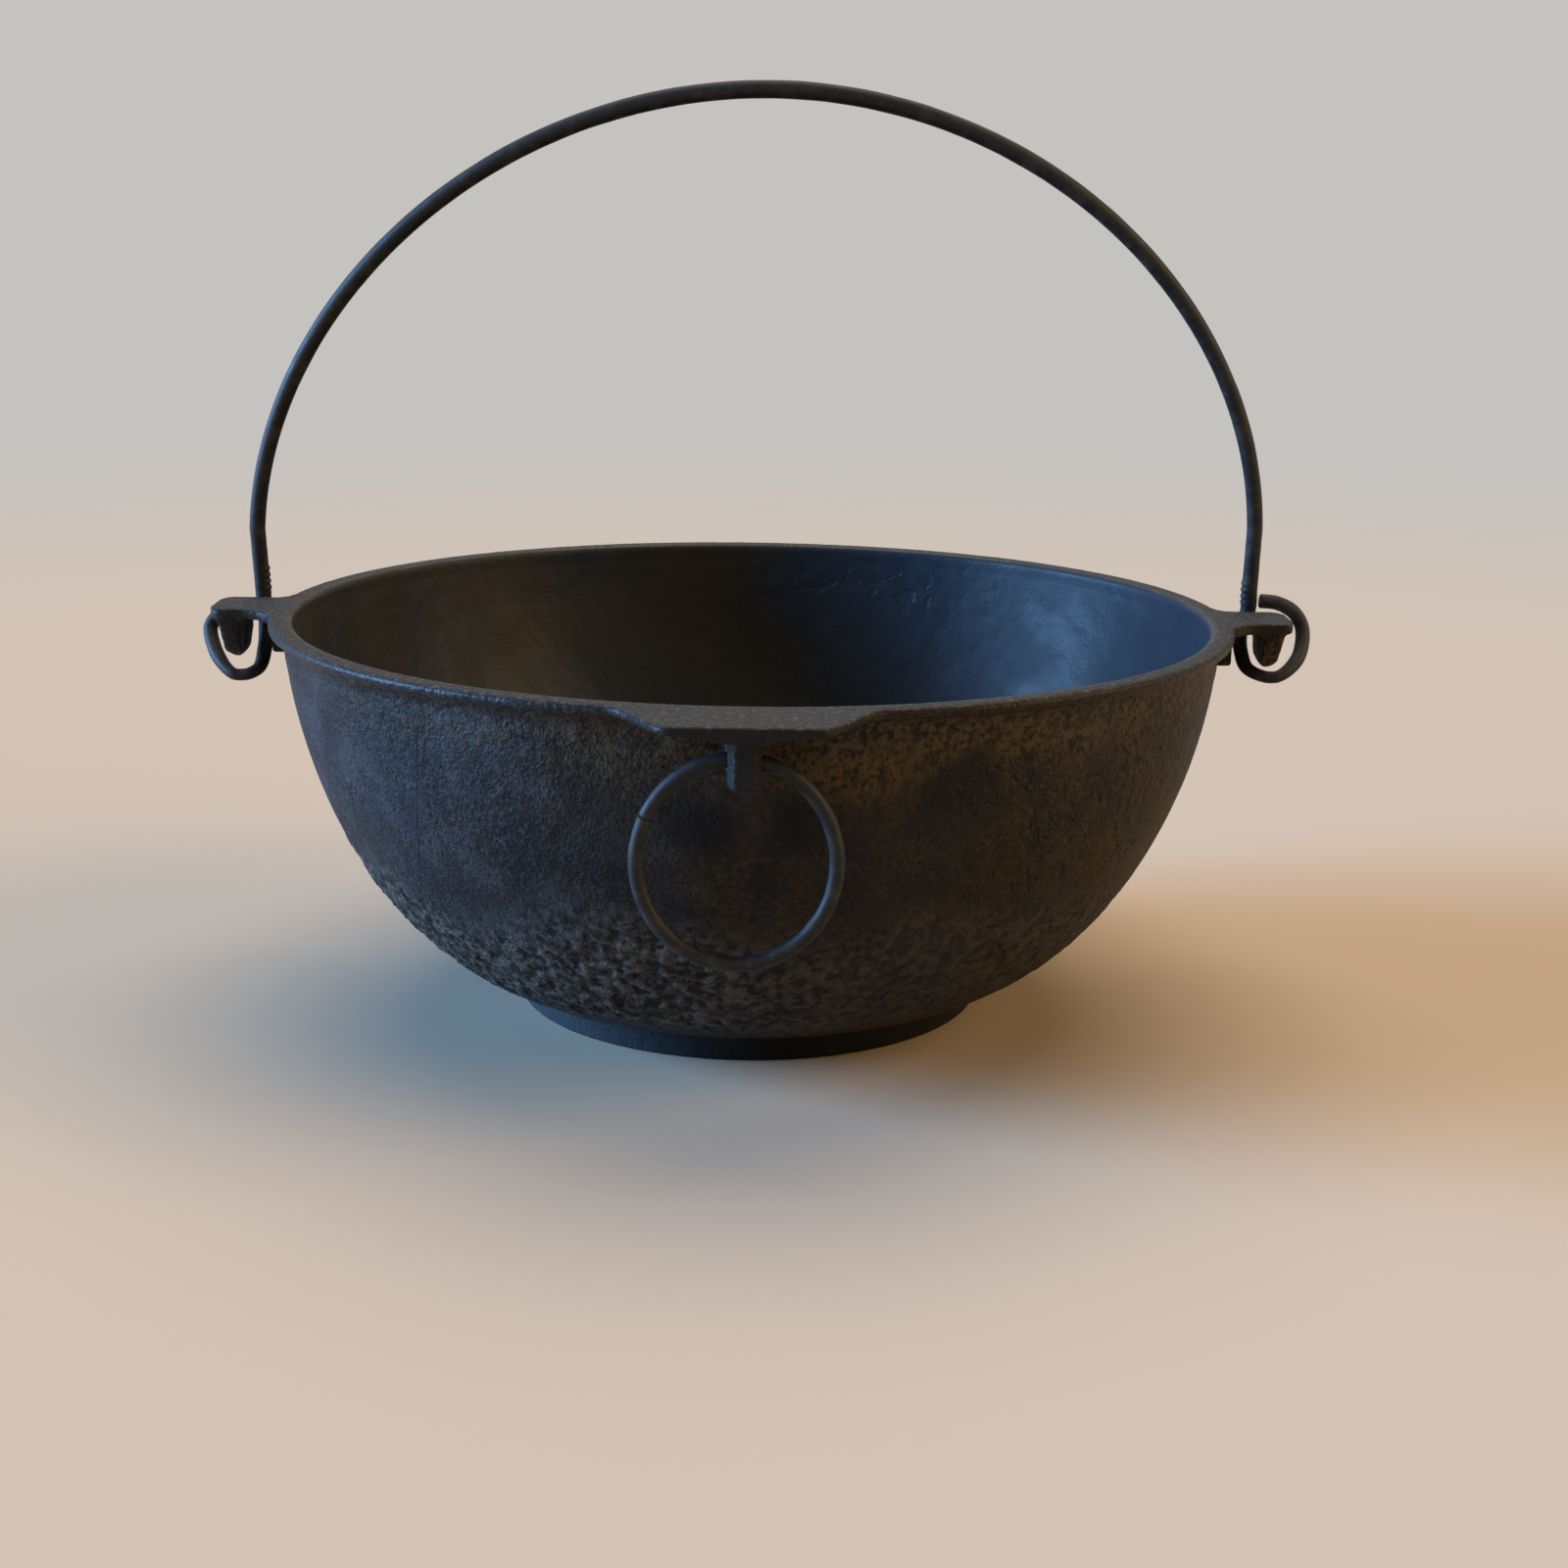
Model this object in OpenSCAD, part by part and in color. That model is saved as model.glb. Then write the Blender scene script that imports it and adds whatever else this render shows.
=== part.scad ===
// Scotch bowl: a cast-iron bowl with a wire bail and a tipping ring.
// All sizes are in millimetres, and the origin is the centre of the foot's underside.

/* [Bowl] */
// Outer diameter across the rim
rim_d = 270; // [250:1:290]
// Height of the rim's top face above the table
bowl_h = 111; // [98:1:125]
// Height of the rim's outer band
rim_band_h = 2.8; // [2.4:0.1:4]
// How far the band stands out from the wall below it
rim_overhang = 4.3; // [3.6:0.1:5]
// Thickness of the wall
wall_t = 3.2; // [2.8:0.1:4.5]
// Diameter of the foot
foot_d = 134; // [118:1:150]
// Height of the foot
foot_h = 8.5; // [6:0.5:11]

/* [Ears] */
// How far each ear's tab stands out from the rim
tab_reach = 17.5; // [16:0.5:20]
// Width of each tab along the rim
tab_w = 21; // [19:0.5:23]
// Thickness of each tab
tab_t = 3.2; // [2.6:0.1:4]
// Thickness of the half-round lug that hangs under each tab
lug_t = 6.4; // [5.6:0.1:6.8]
// Radius of the right lug's round lower edge
lug_r = 9; // [8:0.1:9.1]
// How much larger the left lug is
lug_extra = 1.1; // [0:0.1:1.4]

/* [Bail] */
// Wire diameter at the top of the arch
bail_wire_d = 4.9; // [4.4:0.1:5]
// Wire diameter where it is drawn out into the eyes
eye_wire_d = 4.3; // [3.7:0.1:4.5]
// Rise of the arch above its straight legs
arch_rise = 122; // [110:1:135]
// Length of the straight legs above the rim
leg_l = 22; // [16:1:30]
// How far the arch is drawn in at its shoulders
arch_pinch = 4.8; // [0:0.1:8]
// Sideways sway of the arch's top
arch_sway = 3; // [-4:0.5:4]
// Forward lean of the bail as it rests on the tabs, in degrees
bail_lean = 10; // [8:0.5:14]
// How much lower the left eye hangs than the right one
eye_drop = 3.6; // [0:0.2:4]
// How far the bail sits off centre toward the right ear
bail_shift = 0.9; // [0:0.1:1]

/* [Tipping ring] */
// Outer width of the ring
ring_d = 50.4; // [46:0.2:54]
// How much taller than wide the ring is
ring_stretch = 2.8; // [0:0.2:4]
// Wire diameter of the ring
ring_wire_d = 3.8; // [3.2:0.1:4]
// How far the front plate stands out from the rim
plate_reach = 17.5; // [15:0.5:20]
// Width of the plate's flat front edge
plate_w = 37; // [32:1:42]
// Width of the plate where it runs into the rim
plate_root_w = 64; // [58:1:70]
// Width of the hanging stem at its back
stem_w = 8.6; // [7.6:0.1:9.6]
// Depth of the stem's lower end below the rim's top face
stem_drop = 16.8; // [16:0.1:19]
// How far the ring hangs off centre toward the left
ring_shift = 1.7; // [0:0.1:1.8]

/* [Hidden] */

// Working gap left between pieces that rest on each other
rest_gap = 0.3;

// Facets of the turned shapes, and steps along the curved walls
turn_fn = 144;
wall_steps = 30;

// Radii of the bowl, and heights where its shapes meet
rim_r = rim_d / 2;
wall_r = rim_r - rim_overhang;
foot_r = foot_d / 2;
foot_draft = 0.6;
edge_r = 0.8;
mouth_edge_r = 1.2;
cove_r = rim_overhang + 2.4;
cove_z = bowl_h - rim_band_h - 0.85 * cove_r;

// The outer wall is part of an ellipse that would stand upright above the rim,
// and the inner wall is the same curve drawn in by the wall's thickness
curve_z = bowl_h + 12.6;
curve_low = 5;
curve_w = 79;
curve_h = curve_z - curve_low;
curve_x = wall_r - curve_w * sqrt(1 - pow((curve_z - cove_z) / curve_h, 2));

// Ear places, measured from the bowl's axis and its rim
tab_end = rim_r + tab_reach;
tab_back_fillet = 5;
tab_front_fillet = 11;
tab_corner = 4;
tab_root = 4;

// The bail turns about a line through the lugs, below the tabs
pivot_y = 1;
pivot_z = bowl_h - 5.4;
bail_r = bail_wire_d / 2;
leg_r = (bail_wire_d + eye_wire_d) / 4;
eye_r = eye_wire_d / 2;
leg_y = tab_w / 2 + 1.3 * rest_gap + leg_r;
// How far each eye tucks in toward the bowl below the tab
eye_tuck = 2.4;
leg_x = tab_end - 10;
lug_in = leg_x + bail_shift + 0.8;
rib_out = leg_x - bail_shift - eye_tuck / 2 - eye_r - 3 * rest_gap;
rib_y = [1, 9];
rib_drop = 14.6;

// Ring hinge: the bore runs from side to side through the stem
ring_r = ring_wire_d / 2;
ring_mid_r = ring_d / 2 - ring_r;
hinge_y = -(rim_r + 4);
hinge_z = bowl_h - 10.6;
bore_r = ring_r + 0.85;
ring_hang = ring_mid_r + ring_stretch / 2 - 0.3;
stem_front = -(rim_r + 11);
stem_front_w = stem_w - 3.4;
plate_front = rim_r + plate_reach;
plate_corner_t = 2.4;
plate_shoulder_t = 3.1;
plate_stem_t = 4.2;

function unit(v) = v / norm(v);

// Wall point at the angle a below the ellipse's centre, drawn in by the thickness t
function wall_point(a, t) = [curve_x + (curve_w - t) * cos(a), curve_z - (curve_h - t) * sin(a)];
// Angle at which the wall, drawn in by t, reaches the height z
function wall_angle(z, t) = asin((curve_z - z) / (curve_h - t));
// Wall from the height z0 to the height z1, or down to the flat floor where z0 or z1 is zero
function wall_run(z0, z1, t) = let (
    a0 = z0 == 0 ? 90 : wall_angle(z0, t),
    a1 = z1 == 0 ? 90 : wall_angle(z1, t)
) [for (i = [0:wall_steps]) wall_point(a0 + (a1 - a0) * i / wall_steps, t)];
mouth_r = wall_point(wall_angle(bowl_h - mouth_edge_r, wall_t), wall_t).x;

function arc(cx, cy, r, a0, a1, n) = [
    for (i = [0:n]) let (a = a0 + (a1 - a0) * i / n) [cx + r * cos(a), cy + r * sin(a)]
];

// Half section of the bowl: foot, outer wall, cove, band, flat top, mouth edge and inner wall
module bowl_section() {
    outline = concat(
        [[0, 0], [foot_r - foot_draft - edge_r, 0], [foot_r - foot_draft, edge_r], [foot_r + foot_draft, foot_h]],
        wall_run(foot_h, cove_z, 0),
        arc(wall_r + cove_r, cove_z, cove_r, 170, 122, 4),
        arc(rim_r - edge_r, bowl_h - rim_band_h + edge_r, edge_r, -60, 0, 3),
        arc(rim_r - edge_r, bowl_h - edge_r, edge_r, 0, 90, 3),
        arc(mouth_r + mouth_edge_r, bowl_h - mouth_edge_r, mouth_edge_r, 90, 180, 4),
        wall_run(bowl_h - mouth_edge_r - 0.01, 0, wall_t),
        [[0, curve_low + wall_t]]
    );
    polygon(outline);
}

// Corner filler between the rim's circle and a straight edge at distance w, with fillet radius f
module rim_fillet(w, f) {
    centre = [sqrt(pow(rim_r + f, 2) - pow(w + f, 2)), w + f];
    touch = centre * rim_r / (rim_r + f);
    difference() {
        polygon([[touch.x - tab_root, w - 2], touch - [tab_root, 0], touch, centre - [0, f], [centre.x, w - 2]]);
        translate(centre) circle(r = f, $fn = 64);
    }
}

// Plan of one ear's tab, on the +X side
module tab_plan() {
    hull() {
        translate([rim_r - tab_root, -tab_w / 2]) square([1, tab_w]);
        for (side = [-1, 1])
            translate([tab_end - tab_corner, side * (tab_w / 2 - tab_corner)]) circle(r = tab_corner, $fn = 32);
    }
    rim_fillet(tab_w / 2, tab_back_fillet);
    mirror([0, 1]) rim_fillet(tab_w / 2, tab_front_fillet);
}

// Side outline of the half-round lug, drawn with its middle on the bail's pivot
module lug_outline(r) {
    difference() {
        circle(r = r, $fn = 64);
        translate([-r, 0]) square([2 * r, r]);
    }
    translate([-r, 0]) square([2 * r, bowl_h - tab_t / 2 - pivot_z]);
}

// Front outline of the lug: its outer side slopes in toward a rounded lower end
module lug_front_outline(r) {
    top = bowl_h - pivot_z;
    taper = 1.2;
    outer_round = 4;
    inner_round = 2.8;
    polygon(concat(
        [[0, top], [lug_t, top], [lug_t, top - tab_t]],
        arc(lug_t - taper - outer_round, -r + outer_round, outer_round, 10, -60, 6),
        arc(inner_round, -r + inner_round, inner_round, -90, -180, 6)
    ));
}

// One ear on the +X side: tab, hanging lug of the radius r and the rib against the wall
module ear(r) {
    translate([0, 0, bowl_h - tab_t]) linear_extrude(tab_t) tab_plan();
    translate([lug_in, pivot_y, pivot_z]) intersection() {
        rotate([90, 0, 90]) linear_extrude(lug_t) lug_outline(r);
        translate([0, r, 0]) rotate([90, 0, 0]) linear_extrude(2 * r) lug_front_outline(r);
    }
    translate([wall_r - 2, rib_y[0], bowl_h - rib_drop])
        cube([rib_out - wall_r + 2, rib_y[1] - rib_y[0], rib_drop - tab_t / 2]);
}

// Plan of the plate in front, over the tipping ring
module plate_plan() {
    root_x = plate_root_w / 2;
    root_y = sqrt(pow(rim_r, 2) - pow(root_x, 2));
    difference() {
        polygon([
            [-root_x, -root_y + tab_root], [-root_x, -root_y], [-plate_w / 2 - 4, -plate_front + 6.5],
            [-plate_w / 2, -plate_front], [plate_w / 2, -plate_front],
            [plate_w / 2 + 4, -plate_front + 6.5], [root_x, -root_y], [root_x, -root_y + tab_root]
        ]);
        circle(r = rim_r - tab_root, $fn = turn_fn);
    }
}

// Front outline of the plate: thin at its corners and deeper where it meets the stem
module plate_front_outline() {
    edge = plate_root_w / 2;
    shoulder = plate_w / 2 - 8;
    polygon([
        [-edge, 0], [-edge, -rim_band_h], [-plate_w / 2, -plate_corner_t], [-shoulder, -plate_shoulder_t],
        [-stem_w / 2, -plate_stem_t], [stem_w / 2, -plate_stem_t],
        [shoulder, -plate_shoulder_t], [plate_w / 2, -plate_corner_t], [edge, -rim_band_h], [edge, 0]
    ]);
}

// Plate in front, over the tipping ring
module plate() {
    translate([0, 0, bowl_h]) intersection() {
        translate([0, 0, -plate_stem_t]) linear_extrude(plate_stem_t) plate_plan();
        rotate([90, 0, 0]) linear_extrude(plate_front) plate_front_outline();
    }
}

// Stem under the plate, narrower in front, with the ring's bore through it
module ring_stem() {
    back = -(wall_r - 3);
    translate([0, 0, bowl_h - stem_drop]) linear_extrude(stem_drop - plate_corner_t / 2) polygon([
        [-stem_w / 2, back], [-stem_w / 2, hinge_y - 3], [-stem_front_w / 2, stem_front],
        [stem_front_w / 2, stem_front], [stem_w / 2, hinge_y - 3], [stem_w / 2, back]
    ]);
}

module bowl() {
    color("dimgray") difference() {
        union() {
            rotate_extrude($fn = turn_fn) bowl_section();
            ear(lug_r);
            mirror([1, 0, 0]) ear(lug_r + lug_extra);
            plate();
            ring_stem();
        }
        translate([-stem_w, hinge_y, hinge_z]) rotate([0, 90, 0]) cylinder(r = bore_r, h = 2 * stem_w, $fn = 48);
    }
}

// Bail path: the arch and legs lie in one leaning plane, and each eye bends forward out of it.
// Its own axes are x across, s up the lean from the rim, and a forward bend square to the two.
right_eye = [
    [3.4, 0.9], [8.6, 0.2], [13.4, -2.6], [16, -7.6], [13.8, -13.4],
    [6.8, -17], [-0.7, -15.7], [-eye_tuck, -12], [-0.75 * eye_tuck, -7], [0, -2], [0, 4]
];
left_eye = [
    [3.4, -1.7], [8.6, -2.2], [13.4, -4.3], [15.8, -8], [12.8, -13.4],
    [6.8, -17.1], [0.6, -16], [-0.5, -12], [-0.2, -7], [0, -2], [0, 4]
];
eye_bend_top = -3.2;
eye_bend_low = -17;
eye_bend = 14.5;
smooth_steps = 5;
arch_steps = 44;

function bend(s) = s > eye_bend_top ? 0
    : eye_bend * (1 - sin(90 * max(0, (s - eye_bend_low) / (eye_bend_top - eye_bend_low))));

// Smooth curve through the points, passing each one
function spline_at(p, i, u) = let (
    n = len(p) - 1,
    a = p[max(0, i - 1)],
    b = p[i],
    c = p[min(n, i + 1)],
    d = p[min(n, i + 2)]
) 0.5 * (2 * b + (c - a) * u + (2 * a - 5 * b + 4 * c - d) * u * u + (3 * b - a - 3 * c + d) * u * u * u);
function spline(p, steps) = [
    for (i = [0:len(p) - 2], k = [0:steps - 1]) spline_at(p, i, k / steps)
];

// One eye's points from its cut end to the leg, on the side +1 or -1
function eye_path(points, side) = [for (q = spline(points, smooth_steps)) [side * (leg_x + q[0]), q[1]]];
function arch_path() = [
    for (i = [0:arch_steps]) let (t = 180 * i / arch_steps) [
        leg_x * cos(t) - arch_pinch * sin(2 * t) + arch_sway * sin(t),
        leg_l + arch_rise * sin(t)
    ]
];
function reversed(p) = [for (i = [len(p) - 1:-1:0]) p[i]];
bail_plan = concat(eye_path(right_eye, 1), [[leg_x, 8], [leg_x, 15]], arch_path(),
    [[-leg_x, 15], [-leg_x, 8]], reversed(eye_path(left_eye, -1)));

// A point of the plan, tilted so that the left eye hangs lower, bent and leaned into place
function place_bail(q) = let (
    tilt = atan(eye_drop / (2 * leg_x)),
    x = q[0] * cos(tilt) + (q[1] + bowl_h - pivot_z) * -sin(tilt),
    s = q[1] + q[0] * sin(tilt),
    n = bend(q[1])
) [x + bail_shift, leg_y - s * sin(bail_lean) - n * cos(bail_lean), bowl_h + s * cos(bail_lean) - n * sin(bail_lean)];

// The wire is worn thinner where the eye rubs on the lug
eye_wear = 0.35;
function bail_radius(q) = q[1] < -4 || abs(q[0]) > leg_x + 2 ? eye_r - eye_wear * max(0, min(1, (-14 - q[1]) / 2.5))
    : q[1] < leg_l ? leg_r
    : leg_r + (bail_r - leg_r) * (q[1] - leg_l) / arch_rise;

// Round wire swept along a path, with one radius for each point
module wire(path, radii, sides) {
    count = len(path);
    rings = [
        for (i = [0:count - 1]) let (
            along = unit(path[min(count - 1, i + 1)] - path[max(0, i - 1)]),
            across = unit(cross(along, [0, 1, 0])),
            third = cross(along, across)
        ) for (k = [0:sides - 1]) path[i] + radii[i] * (cos(360 * k / sides) * across + sin(360 * k / sides) * third)
    ];
    walls = [
        for (i = [0:count - 2], k = [0:sides - 1]) let (next = (k + 1) % sides)
            [i * sides + k, (i + 1) * sides + k, (i + 1) * sides + next, i * sides + next]
    ];
    first_cap = [for (k = [0:sides - 1]) k];
    last_cap = [for (k = [sides - 1:-1:0]) (count - 1) * sides + k];
    polyhedron(points = rings, faces = concat(walls, [first_cap, last_cap]), convexity = 6);
}

module bail() {
    color("darkslategray")
        wire([for (q = bail_plan) place_bail(q)], [for (q = bail_plan) bail_radius(q)], 16);
}

// Wire ring that hangs from the stem's bore: two half rings joined by short straight sides
module tipping_ring() {
    color("slategray") translate([-ring_shift, hinge_y, hinge_z - ring_hang]) rotate([90, 0, 0]) {
        for (turn = [0, 180]) rotate([0, 0, turn]) translate([0, ring_stretch / 2, 0])
            rotate_extrude(angle = 180, $fn = 72) translate([ring_mid_r, 0]) circle(r = ring_r, $fn = 24);
        for (side = [-1, 1]) translate([side * ring_mid_r, -ring_stretch / 2 - 0.01, 0])
            rotate([-90, 0, 0]) cylinder(r = ring_r, h = ring_stretch + 0.02, $fn = 24);
    }
}

bowl();
bail();
tipping_ring();
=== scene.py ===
"""Scotch bowl in Blender: the iron casting, its wire bail and its tipping ring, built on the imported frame.

Lengths are millimetres, as in the CAD source, until a mesh or a light is made, which takes metres.
"""
import math

import bpy
import numpy as np
from mathutils import Matrix, Vector


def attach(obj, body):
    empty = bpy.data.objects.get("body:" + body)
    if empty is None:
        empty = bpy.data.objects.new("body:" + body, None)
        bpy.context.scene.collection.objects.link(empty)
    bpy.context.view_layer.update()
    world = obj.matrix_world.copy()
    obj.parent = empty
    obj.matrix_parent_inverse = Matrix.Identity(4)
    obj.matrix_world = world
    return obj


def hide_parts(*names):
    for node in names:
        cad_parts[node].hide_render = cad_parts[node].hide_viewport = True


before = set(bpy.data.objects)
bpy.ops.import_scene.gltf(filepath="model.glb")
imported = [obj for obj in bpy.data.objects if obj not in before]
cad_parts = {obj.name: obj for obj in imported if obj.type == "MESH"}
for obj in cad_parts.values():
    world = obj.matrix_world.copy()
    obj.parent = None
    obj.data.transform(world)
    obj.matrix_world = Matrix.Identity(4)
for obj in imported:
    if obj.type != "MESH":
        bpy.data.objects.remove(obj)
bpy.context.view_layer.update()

# Camera
# Its place, aim and lens were fitted to the photograph's rim, ears and bail.
focal_px = 2430
image_px = 1600
pitch, yaw, roll = (math.radians(angle) for angle in (14.03, 0.27, 0.90))
forward = Vector((math.sin(yaw) * math.cos(pitch), math.cos(yaw) * math.cos(pitch), -math.sin(pitch)))
level = Vector((math.cos(yaw), -math.sin(yaw), 0))
upward = level.cross(forward)
image_right = math.cos(roll) * level + math.sin(roll) * upward
image_up = math.cos(roll) * upward - math.sin(roll) * level

camera = bpy.data.objects.new("camera", bpy.data.cameras.new("camera"))
camera.data.sensor_width = 36
camera.data.lens = focal_px / image_px * camera.data.sensor_width
camera.data.clip_start = 0.01
turn = Matrix((image_right, image_up, -forward)).transposed().to_4x4()
camera.matrix_world = Matrix.Translation((0.0065, -0.6686, 0.2273)) @ turn
bpy.context.scene.collection.objects.link(camera)
bpy.context.scene.camera = camera


# Bowl, outside and inside
# Both faces of the wall are turned from one curve. The skin's relief is a function of place alone,
# so that pieces which meet have the same relief where they meet.
bowl_h = 111
rim_r = 135
rim_band_h = 2.8
rim_overhang = 4.3
wall_r = rim_r - rim_overhang
wall_t = 3.2
foot_h = 8.5
foot_low_r = 66.4
foot_top_r = 67.6
edge_r = 0.8
mouth_edge_r = 1.2
cove_r = rim_overhang + 2.4
cove_z = bowl_h - rim_band_h - 0.85 * cove_r
curve_w = 79
curve_z = bowl_h + 12.6
curve_h = curve_z - 5
curve_x = wall_r - curve_w * math.sqrt(1 - ((curve_z - cove_z) / curve_h) ** 2)


def wall_radius(height, inset):
    """Radius of the wall at a height: an ellipse that stands on end above the rim, drawn in by the inset."""
    share = (curve_z - height) / (curve_h - inset)
    return curve_x + (curve_w - inset) * np.sqrt(np.maximum(0, 1 - share**2))


def wall_points(start_z, end_z, inset, count):
    """Points along the wall's curve between two heights, at even steps of the ellipse's angle."""
    start, end = (math.asin((curve_z - z) / (curve_h - inset)) for z in (start_z, end_z))
    height = curve_z - (curve_h - inset) * np.sin(np.linspace(start, end, count))
    return np.stack([wall_radius(height, inset), height], axis=1)


def straight(start, end, count):
    return np.linspace(start, end, count)


def arc(centre, radius, start, end, count):
    """Points of a circle's arc, from one angle to another in degrees."""
    angle = np.radians(np.linspace(start, end, count))
    return np.stack([centre[0] + radius * np.cos(angle), centre[1] + radius * np.sin(angle)], axis=1)


def ramp(value, low, high):
    """0 at low and 1 at high, with a smooth change between them. High may be below low."""
    share = np.clip((value - low) / (high - low), 0, 1)
    return share * share * (3 - 2 * share)


lattice_tilt = np.array(Matrix.Rotation(0.7, 3, (0.48, 0.6, 0.64)))


def random_at(cell, seed):
    """A fixed random value from -1 to 1 for each cell of a lattice, mixed from its whole numbers."""
    mixed = cell[:, 0] * 374761393 + cell[:, 1] * 668265263 + cell[:, 2] * 1440670441 + seed * 1274126177
    mixed = mixed & 0xFFFFFFFF
    mixed = ((mixed ^ (mixed >> 13)) * 1274126177) & 0xFFFFFFFF
    return (mixed ^ (mixed >> 16)) / 2**31 - 1


def noise(points, size, seed):
    """Smooth noise from -1 to 1: random values on a tilted lattice, blended between its corners."""
    place = points @ lattice_tilt / size
    cell = np.floor(place).astype(np.int64)
    share = place - cell
    share = share * share * (3 - 2 * share)
    total = np.zeros(len(points))
    for corner in np.ndindex(2, 2, 2):
        total += np.prod(np.where(corner, share, 1 - share), axis=1) * random_at(cell + corner, seed)
    return total


def chips(points, size, seed):
    """Uneven cells of the given size: the random value, from 0 to 1, of the cell whose middle is nearest."""
    place = points @ lattice_tilt / size
    cell = np.floor(place).astype(np.int64)
    nearest = np.full(len(points), np.inf)
    value = np.zeros(len(points))
    for corner in np.ndindex(3, 3, 3):
        at = cell + corner - 1
        middle = at + 0.5 + 0.45 * np.column_stack([random_at(at, seed + k) for k in (1, 2, 3)])
        distance = np.sum((place - middle) ** 2, axis=1)
        closer = distance < nearest
        nearest[closer] = distance[closer]
        value[closer] = 0.5 + 0.5 * random_at(at[closer], seed)
    return value


def inner_share(points):
    """1 on the bowl's inner face and 0 outside, with a change across the rim's flat top."""
    radius = np.hypot(points[:, 0], points[:, 1])
    height = np.minimum(points[:, 2], bowl_h)
    middle = wall_radius(height, wall_t / 2)
    return ramp(radius, middle + 1.2, middle - 1.2) * ramp(height, 5.5, 7)


def layered(points, size, seed):
    """Noise of three sizes, each half as large and half as strong as the one before."""
    return sum(noise(points, size / 2**k, seed + k) / 2**k for k in range(3))


def crust_share(points):
    """Where the scaly crust lies: low on the outer wall, and less of it towards the right of the front."""
    x, y, height = points.T
    share = ramp(height + 9 * noise(points, 30, 9), 56, 40) * ramp(height, 9, 20)
    share = share * (1 - 0.65 * ramp(x + 25 * noise(points, 60, 13), 0, 60) * ramp(y, 30, -30))
    return share * (1 - inner_share(points))


def flake_height(points):
    """Height of the crust's scales from 0 to 1: chips of two sizes with bent borders."""
    bent = points + 0.9 * np.column_stack([noise(points, 3, seed) for seed in (31, 32, 33)])
    return 0.6 * chips(bent, 3.1, 34) + 0.4 * chips(bent, 1.9, 38)


def cast_relief(points):
    """How far the skin stands out: slow waves, pimples in patches, and a scaly crust low on the outer wall."""
    x, y, height = points.T
    waves = 0.16 * noise(points, 42, 1) + 0.07 * noise(points, 15, 2)
    patch = ramp(noise(points, 26, 3) + 0.4 * noise(points, 9, 4), -0.1, 0.6)
    under_band = ramp(height + 3 * noise(points, 12, 12), bowl_h - 17, bowl_h - 10)
    pimples = (0.03 + 0.10 * patch + 0.10 * under_band) * layered(points, 3.4, 5)
    outer = waves + pimples + crust_share(points) * (1.15 * flake_height(points) + 0.18 * layered(points, 6, 7) - 0.65)
    dents = ramp(noise(points, 4.6, 14), 0.2, 0.65) * ramp(y, 60, 90) * ramp(np.abs(x - 28), 30, 20)
    inner = 0.6 * waves + 0.03 * noise(points, 6, 11) - 0.3 * dents * ramp(height, 84, 92) * ramp(height, 106, 102)
    share = inner_share(points)
    smooth_foot = 1 - 0.7 * ramp(height, 9.2, 8)
    worn_top = 1 - 0.85 * ramp(height, bowl_h - 3.4, bowl_h - 1.4)
    return (share * inner + (1 - share) * outer) * smooth_foot * worn_top


def grid_faces(rows, columns):
    """Quads between neighbouring rows of a grid whose last column joins the first."""
    row = np.arange(rows - 1)[:, None] * columns
    column = np.arange(columns)[None, :]
    beside = (column + 1) % columns
    return np.stack([row + column, row + beside, row + columns + beside, row + columns + column], axis=-1).reshape(-1, 4)


def add_piece(name, points, faces):
    """Mesh object at the origin, smooth all over, from points in millimetres."""
    mesh = bpy.data.meshes.new(name)
    mesh.from_pydata((np.asarray(points) * 0.001).tolist(), [], [list(face) for face in faces])
    mesh.shade_smooth()
    piece = bpy.data.objects.new(name, mesh)
    bpy.context.scene.collection.objects.link(piece)
    return piece


def add_share(piece, name, values):
    """Stores one value for each vertex, for the material to read."""
    piece.data.attributes.new(name, "FLOAT", "POINT").data.foreach_set("value", values.astype(np.float32))


def turned(name, profile, turns):
    """The profile turned round the Z axis and pushed out along its own normal by the cast relief.
    An end of it near the axis is closed with a small round face."""
    angle = np.linspace(0, 2 * math.pi, turns, endpoint=False)
    along = np.gradient(profile, axis=0)
    normal = np.stack([along[:, 1], -along[:, 0]], axis=1)
    normal /= np.linalg.norm(normal, axis=1)[:, None]

    def spun(pair):
        return np.stack([
            np.outer(pair[:, 0], np.cos(angle)), np.outer(pair[:, 0], np.sin(angle)),
            np.repeat(pair[:, 1:], turns, axis=1),
        ], axis=-1).reshape(-1, 3)

    points = spun(profile)
    relief = cast_relief(points) * ramp(points[:, 2], 0, 0.9)
    points = points + spun(normal) * relief[:, None]
    faces = [tuple(face) for face in grid_faces(len(profile), turns)]
    if profile[0, 0] < 1:
        faces.append(tuple(range(turns))[::-1])
    if profile[-1, 0] < 1:
        faces.append(tuple((len(profile) - 1) * turns + k for k in range(turns)))
    piece = add_piece(name, points, faces)
    add_share(piece, "inner", inner_share(points))
    add_share(piece, "crust", crust_share(points))
    add_share(piece, "flake", flake_height(points))
    return piece


def faded(profile, keep_z, end_z, depth):
    """Draws the profile in by the depth between two heights, so that it slips under its neighbour."""
    drawn = profile.copy()
    drawn[:, 0] -= depth * ramp(profile[:, 1], keep_z, end_z)
    return drawn


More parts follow.
